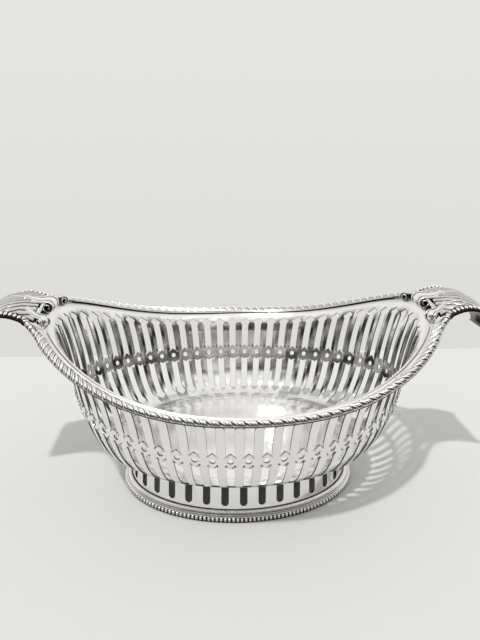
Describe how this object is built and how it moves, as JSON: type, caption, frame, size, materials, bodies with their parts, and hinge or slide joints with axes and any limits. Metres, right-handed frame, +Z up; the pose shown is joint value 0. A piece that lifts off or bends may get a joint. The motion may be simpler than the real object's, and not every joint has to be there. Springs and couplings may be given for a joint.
{
  "type": "bread basket",
  "caption": "Oval boat-shaped pierced silver basket on a pierced oval foot, with a gadroon rim and a curled lip handle at each end.",
  "frame": {"origin": "centre of the foot's oval on the surface that the basket stands on", "axes": "+Z up, +X along the length from one handle to the other, -Y towards the viewer of the picture"},
  "size_m": [0.2914, 0.171, 0.1155],
  "materials": {
    "silver": "polished sterling silver",
    "silver_chased": "polished sterling silver with light tarnish left in the chased lines"
  },
  "bodies": {
    "root": {"pierced_bowl": "silver", "foot_collar": "silver", "foot_moulding": "silver", "foot_border": "silver_chased", "rim_border_back": "silver_chased", "rim_border_front": "silver_chased", "rim_wire_back": "silver", "rim_wire_front": "silver", "handle_right": "silver", "leaf_right": "silver_chased", "scroll_centre_right": "silver_chased", "scroll_front_right": "silver_chased", "scroll_back_right": "silver_chased", "handle_left": "silver", "leaf_left": "silver_chased", "scroll_centre_left": "silver_chased", "scroll_front_left": "silver_chased", "scroll_back_left": "silver_chased"}
  },
  "joints": []
}
